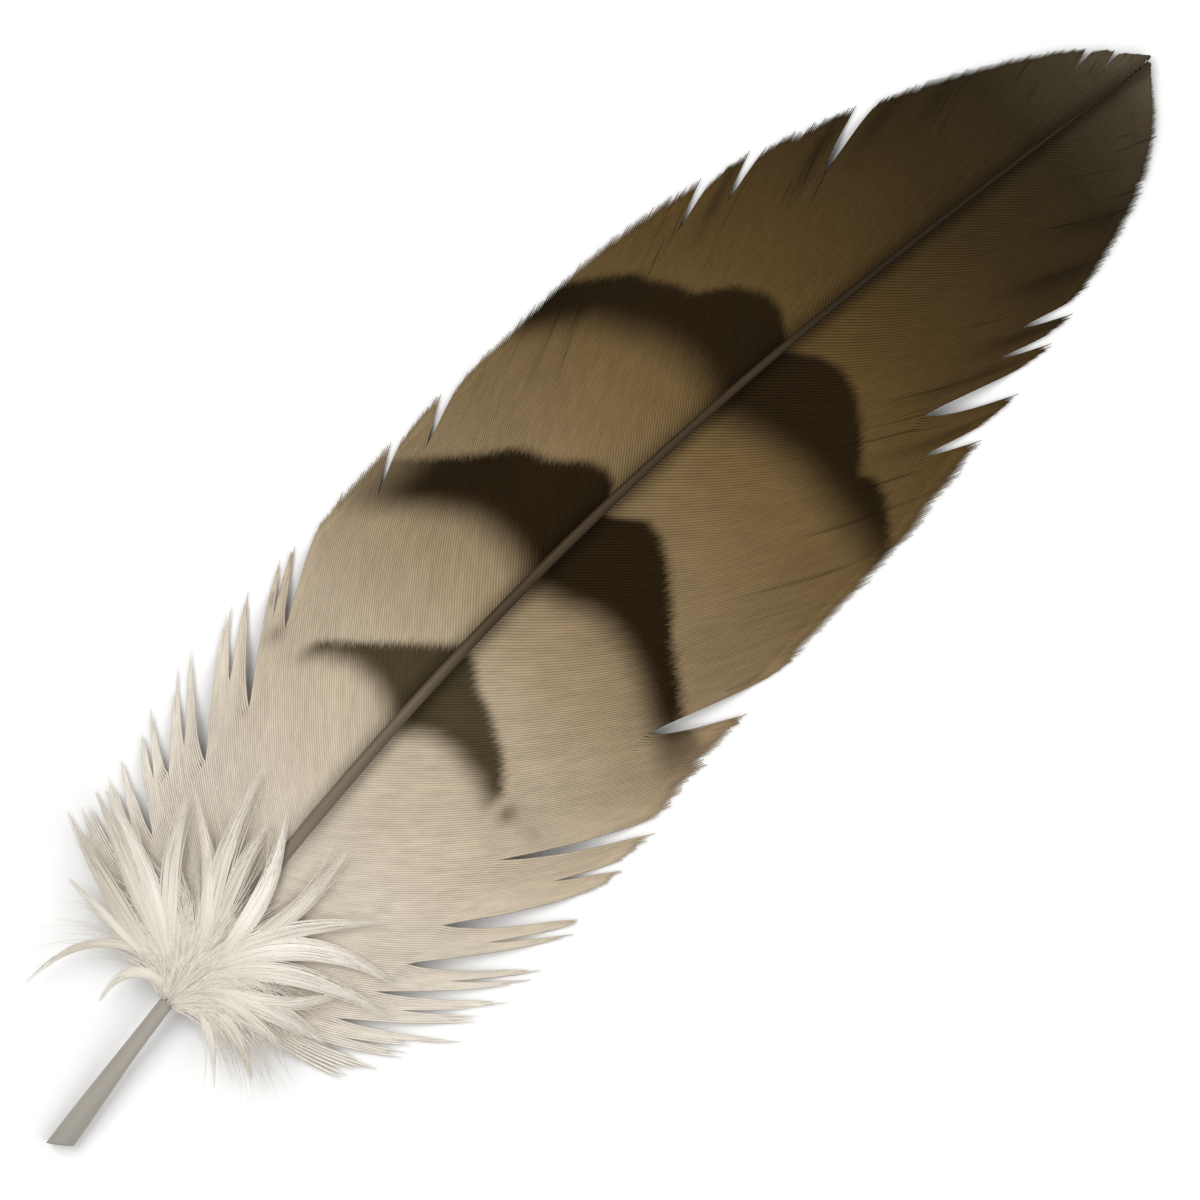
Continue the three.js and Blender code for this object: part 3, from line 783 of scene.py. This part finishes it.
def down_piece(name, fibres, rise, stray_share, material):
    """Fibres in locks: each follows its lock's curve through three points, at a side offset that is a
    sine of the share along it, so that the lock narrows to its tip. Some fibres stray by a square."""
    root, middle, tip, width, brightness = fibres
    width = width * LOCK_FULLNESS
    count = len(root)
    side = np.clip(random.normal(0, SIDE_SPREAD, count), -1, 1)
    level = random.uniform(-1, 1, count)
    stray = random.normal(0, STRAY, count)
    stray = np.where(random.random(count) < stray_share, random.normal(0, FAR_STRAY, count), stray)
    first = random.uniform(0, LATEST_START, count)
    last = 1 - random.uniform(0, 1, count)**END_POWER * EARLIEST_END

    s = first[:, None] + (last - first)[:, None] * np.linspace(0, 1, FIBRE_STATIONS)[None]
    bend = 2 * middle - (root + tip) / 2
    plan = bezier(root[:, None], bend[:, None], tip[:, None], s)
    path = np.gradient(plan, axis=1)
    path /= np.linalg.norm(path, axis=-1, keepdims=True)
    beside = np.stack([-path[..., 1], path[..., 0]], -1)
    wave = np.clip(np.sin(np.pi * (TAPER_START + (1 - TAPER_START) * s)), 0, 1)
    taper = TAPER_LEAST + (1 - TAPER_LEAST) * wave
    offset = side[:, None] * width[:, None] / 2 * taper + stray[:, None] * s**2
    plan = plan + offset[..., None] * beside
    height = down_height(plan[..., 0], plan[..., 1]) + LOCK_LOFT * np.sin(np.pi * s) + rise
    dome = np.sqrt(1 - DOME_FALL * side[:, None]**2)
    bulge = (DOME_HEIGHT + DOME_SPREAD * level[:, None]) * width[:, None]
    height = height + bulge * taper * (dome - DOME_LEVEL)
    centres = np.concatenate([plan, height[..., None]], -1)

    along = np.linspace(0, 1, FIBRE_STATIONS)[None]
    thick = FIBRE_WIDTH / 2 * np.clip(FIBRE_START - along**2, FIBRE_LEAST, 1)
    thick = thick * random.uniform(*FIBRE_VARIATION, count)[:, None]
    across = np.stack([thick, 0 * thick, -thick, 0 * thick], -1)
    points = tube_points(centres, across, np.roll(across, 1, axis=-1))
    body = np.mean(BODY_BRIGHTNESS)
    # Painted shade: a lock's fibres darker towards its edges, as light falls on a round lock
    light = brightness[:, None] * (PAINTED_EDGE_LIGHT + (1 - PAINTED_EDGE_LIGHT) * dome)
    light = light + random.normal(0, LIGHT_SPREAD, count)[:, None]
    light = np.clip(body + (light - body) * smooth_step(*LIGHT_FADE_IN, s), 0, 1)
    colour = linear(DOWN_SHADE) + (linear(DOWN_LIGHT) - linear(DOWN_SHADE)) * light[..., None]
    colour = np.repeat(colour[:, :, None], 4, axis=2)
    number = np.arange(count)[:, None, None] + np.zeros(points.shape[:3])
    length = s[..., None] * FIBRE_GRAIN_LENGTH + 0 * number
    runs = np.stack([length, number * FIBRE_GRAIN_STEP, 0 * number], -1)
    faces = tube_faces(count, FIBRE_STATIONS)
    return make_piece(name, points, faces, "down_tuft", "down", material, colour=colour, run=runs)


# Stage, light and camera

FLOOR_HALF = 1.5
FLOOR_DROP = 0.0002  # keeps the floor clear of the feather's lowest faces
FLOOR_COLOUR = (0.88, 0.88, 0.875, 1)
LENS = 180


def floor_piece():
    """A wide level sheet under the feather."""
    mesh = bpy.data.meshes.new("floor")
    turns = [(-1, -1), (1, -1), (1, 1), (-1, 1)]
    corners = [(FLOOR_HALF * x, FLOOR_HALF * y, 0) for x, y in turns]
    mesh.from_pydata(corners, [], [(0, 1, 2, 3)])
    material, _, shader = node_material("floor_paper")
    shader.inputs["Base Color"].default_value = FLOOR_COLOUR
    shader.inputs["Roughness"].default_value = 0.9
    shader.inputs["Specular IOR Level"].default_value = 0.1
    mesh.materials.append(material)
    floor = bpy.data.objects.new("floor", mesh)
    floor.location.z = -FLOOR_DROP
    bpy.context.scene.collection.objects.link(floor)


def area_light(name, place, size, power):
    """A square soft light at a place in metres, turned to the feather."""
    light = bpy.data.lights.new(name, "AREA")
    light.size = size
    light.energy = power
    lamp = bpy.data.objects.new(name, light)
    lamp.location = place
    lamp.rotation_euler = (-Vector(place)).to_track_quat("-Z", "Y").to_euler()
    bpy.context.scene.collection.objects.link(lamp)


def studio_light():
    """A pale surround, with a key light from the left vane's side and a weak fill opposite."""
    world = bpy.data.worlds.new("studio")
    world.use_nodes = True
    surround = world.node_tree.nodes["Background"]
    surround.inputs["Color"].default_value = (1, 1, 1, 1)
    surround.inputs["Strength"].default_value = 0.46
    bpy.context.scene.world = world
    area_light("key", place=(-0.06, 0.36, 0.72), size=0.45, power=3.6)
    area_light("fill", place=(0.15, -0.4, 0.6), size=0.6, power=2.3)
    bpy.context.scene.view_settings.view_transform = "Standard"


def photo_camera():
    """A long lens straight above, turned so that the line from quill to tip lies as in the photograph."""
    pixels = Vector((TIP_PIXEL[0] - QUILL_PIXEL[0], QUILL_PIXEL[1] - TIP_PIXEL[1]))
    pixel = LENGTH * MM / pixels.length
    turn = math.atan2(pixels.y, pixels.x)
    middle = Vector((PHOTO_SIZE / 2 - QUILL_PIXEL[0], QUILL_PIXEL[1] - PHOTO_SIZE / 2)) * pixel
    x = middle.x * math.cos(turn) + middle.y * math.sin(turn)
    y = middle.y * math.cos(turn) - middle.x * math.sin(turn)
    data = bpy.data.cameras.new("camera")
    data.lens = LENS
    distance = PHOTO_SIZE * pixel * data.lens / data.sensor_width
    camera = bpy.data.objects.new("camera", data)
    camera.location = (x + SHIFT[0] * MM, y + SHIFT[1] * MM, distance + ARCH / 2 * MM)
    camera.rotation_euler = (0, 0, -turn)
    bpy.context.scene.collection.objects.link(camera)
    bpy.context.scene.camera = camera


photo_camera()
studio_light()
floor_piece()

barb_look = vane_material()
down_look = down_material()
shaft_piece(horn_material())
vane_piece(LEFT_VANE, barb_look)
vane_piece(RIGHT_VANE, barb_look)
down_piece("down_locks", lock_fibres(), LOCK_RISE, LOCK_STRAYS, down_look)
down_piece("down_body", body_fibres(), 0.0, BODY_STRAYS, down_look)
